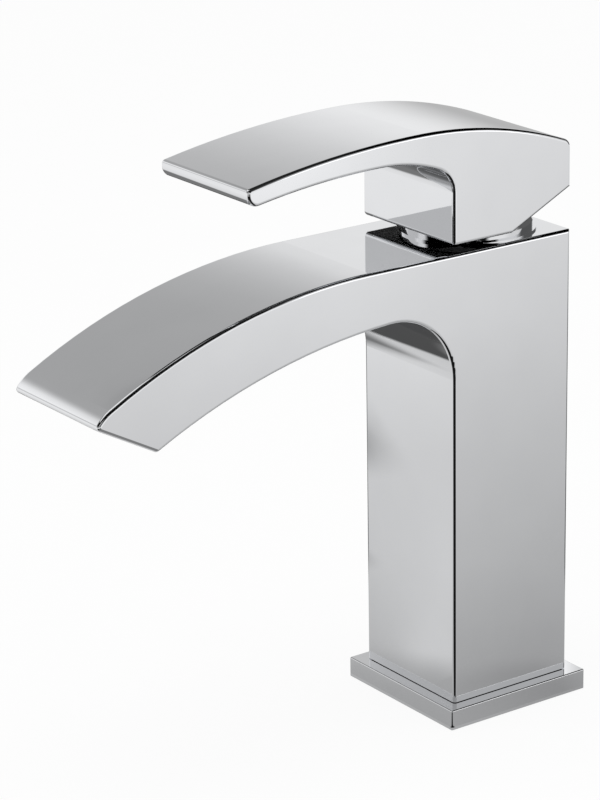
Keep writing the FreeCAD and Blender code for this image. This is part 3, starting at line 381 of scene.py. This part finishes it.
def flag(name, point, level, sides, ends, strength=1.0):
    """Grey card that only the metal mirrors: a painted reflection, light or dark, that dull surfaces don't
    see and that casts no shadow.

    point maps 0 to 1 across the card and along it to a place. sides and ends are the shares over which the
    card's edges fade out.
    """
    steps = range(CARD_STEPS + 1)
    ways = [(i / CARD_STEPS, j / CARD_STEPS) for j in steps for i in steps]
    row = CARD_STEPS + 1
    faces = [(j * row + i, j * row + i + 1, (j + 1) * row + i + 1, (j + 1) * row + i)
             for j in range(CARD_STEPS) for i in range(CARD_STEPS)]
    card = staged(name, [point(u, v) for u, v in ways], faces)
    layer = card.data.uv_layers.new(name="card")
    for loop in card.data.loops:
        layer.data[loop.index].uv = ways[loop.vertex_index]
    card.visible_camera = False
    card.visible_diffuse = False
    card.visible_shadow = False
    card.visible_transmission = False
    material = bpy.data.materials.new(name)
    nodes = Nodes(material)
    across = nodes.parts(nodes.add("ShaderNodeUVMap", uv_map="card").outputs["UV"])
    cover = strength
    for way, fades in (("X", sides), ("Y", ends)):
        value = across[way]
        for fade, inward in zip(fades, (value, nodes.math("SUBTRACT", 1.0, value))):
            if fade:
                edge = nodes.spread(inward, low=0.0, high=1.0, from_high=fade, smooth=True)
                cover = nodes.math("MULTIPLY", edge, cover)
    shade = nodes.add("ShaderNodeEmission")
    shade.inputs["Color"].default_value = (*grey(level), 1.0)
    clear = nodes.add("ShaderNodeBsdfTransparent")
    surface = nodes.layered(cover, clear.outputs["BSDF"], shade.outputs["Emission"])
    nodes.join(surface, nodes.add("ShaderNodeOutputMaterial").inputs["Surface"])
    card.data.materials.append(material)


def standing(azimuths, heights, distance):
    """Curved upright card round the tap between two azimuths and two heights."""
    def point(u, v):
        place = heading(azimuths[0] + (azimuths[1] - azimuths[0]) * u) * distance
        place.z = heights[0] + (heights[1] - heights[0]) * v
        return place
    return point


def lying(corner, azimuths, radii, height):
    """Level fan about a corner."""
    def point(u, v):
        azimuth = azimuths[0] + (azimuths[1] - azimuths[0]) * u
        return Vector((*corner, height)) + heading(azimuth) * (radii[0] + (radii[1] - radii[0]) * v)
    return point


def soft_lamp(name, azimuth, elevation, distance, size, power, mirrored):
    light = bpy.data.lights.new(name, "AREA")
    light.shape = "RECTANGLE"
    light.size, light.size_y = size
    light.energy = power
    lamp = bpy.data.objects.new(name, light)
    lamp.location = heading(azimuth, elevation) * distance
    lamp.rotation_euler = (-heading(azimuth, elevation)).to_track_quat("-Z", "Y").to_euler()
    lamp.visible_glossy = mirrored
    bpy.context.collection.objects.link(lamp)


surroundings()
table()

# Dark upright cards, painted reflections for the black lines that the rounded edges show.

flag("back_black", standing(azimuths=(127.0, 233.0), heights=(0.8, 3.0), distance=1.5),
     level=0.0, sides=(0.05, 0.05), ends=(0.06, 0.1))
flag("front_black", standing(azimuths=(-36.0, 70.0), heights=(1.2, 2.4), distance=1.5),
     level=0.0, sides=(0.08, 0.08), ends=(0.06, 0.1))
flag("right_black", standing(azimuths=(60.0, 119.0), heights=(0.66, 2.0), distance=1.48),
     level=0.0, sides=(0.15, 0.1), ends=(0.1, 0.1))
flag("camera_dark", standing(azimuths=(-28.0, 112.0), heights=(0.3, 0.85), distance=1.45),
     level=0.0, sides=(0.08, 0.08), ends=(0.15, 0.2))
flag("behind_dark", standing(azimuths=(143.0, 222.0), heights=(0.0, 0.85), distance=1.49),
     level=0.12, sides=(0.25, 0.2), ends=(0.0, 0.1))

# Painted shade and painted light low over the table, seen only in the metal, for the column's sides, the
# undersides and the base plate.

flag("camera_black", lying(NEAR_CORNER, azimuths=(-8.0, 96.0), radii=(0.0, 0.85), height=0.0008),
     level=0.01, sides=(0.2, 0.1), ends=(0.0, 0.3))
flag("left_dark", lying(NEAR_TABLE, azimuths=(-205.0, -77.0), radii=(0.14, 0.7), height=0.0006),
     level=0.09, sides=(0.2, 0.03), ends=(0.06, 0.5))
flag("left_far_shade", lying(NEAR_TABLE, azimuths=(-100.0, -65.0), radii=(0.22, 0.5), height=0.0007),
     level=0.22, sides=(0.1, 0.15), ends=(0.2, 0.4))
flag("front_left_pale", lying(COLUMN_FRONT, azimuths=(-70.0, -12.0), radii=(0.012, 0.24), height=0.0004),
     level=0.82, sides=(0.5, 0.1), ends=(0.12, 0.5), strength=0.65)
flag("right_white", lying(COLUMN_FRONT, azimuths=(96.0, 126.0), radii=(0.5, 1.2), height=0.0006),
     level=1.13, sides=(0.2, 0.25), ends=(0.35, 0.1))
flag("right_shade", lying(COLUMN_FRONT, azimuths=(117.0, 180.0), radii=(0.03, 1.3), height=0.0004),
     level=0.35, sides=(0.35, 0.2), ends=(0.05, 0.2), strength=0.25)
flag("plate_shade", lying(AXIS, azimuths=(-62.0, 140.0), radii=(0.02, 0.055), height=0.0009),
     level=0.0, sides=(0.1, 0.1), ends=(0.0, 0.5), strength=0.12)
flag("plate_white", standing(azimuths=(-160.0, -106.0), heights=(0.02, 0.06), distance=0.08),
     level=1.2, sides=(0.2, 0.35), ends=(0.2, 0.2))

# Light and grey cards, painted reflections for the tops, the lip, the spout's end and the foot's corner in
# the base plate.

flag("overhead_white", lying(LIP_FRONT, azimuths=(-100.0, 5.0), radii=(0.0, 1.5), height=1.6),
     level=1.0, sides=(0.1, 0.1), ends=(0.1, 0.2))
flag("left_low_grey", standing(azimuths=(-148.0, -110.0), heights=(0.0, 0.4), distance=0.85),
     level=0.5, sides=(0.3, 0.3), ends=(0.0, 0.72))
flag("front_left_grey", standing(azimuths=(-76.0, -36.0), heights=(0.3, 0.62), distance=1.5),
     level=0.68, sides=(0.2, 0.2), ends=(0.2, 0.05))
flag("front_left_white", standing(azimuths=(-90.0, -51.0), heights=(0.6, 1.08), distance=1.48),
     level=1.1, sides=(0.4, 0.2), ends=(0.05, 0.75))
flag("foot_grey", standing(azimuths=(-32.0, 116.0), heights=(0.61, 0.69), distance=1.43),
     level=0.45, sides=(0.05, 0.05), ends=(0.25, 0.25))
flag("spout_end_pale", lying(SPOUT_END, azimuths=(50.0, 175.0), radii=(0.0, 0.06), height=0.095),
     level=0.6, sides=(0.1, 0.1), ends=(0.0, 0.2), strength=0.4)

soft_lamp("lamp_top", azimuth=30.0, elevation=82.0, distance=1.7, size=(1.1, 1.1), power=12.0, mirrored=False)
soft_lamp("lamp_rim", azimuth=126.0, elevation=10.0, distance=1.7, size=(0.5, 0.3), power=0.55, mirrored=True)
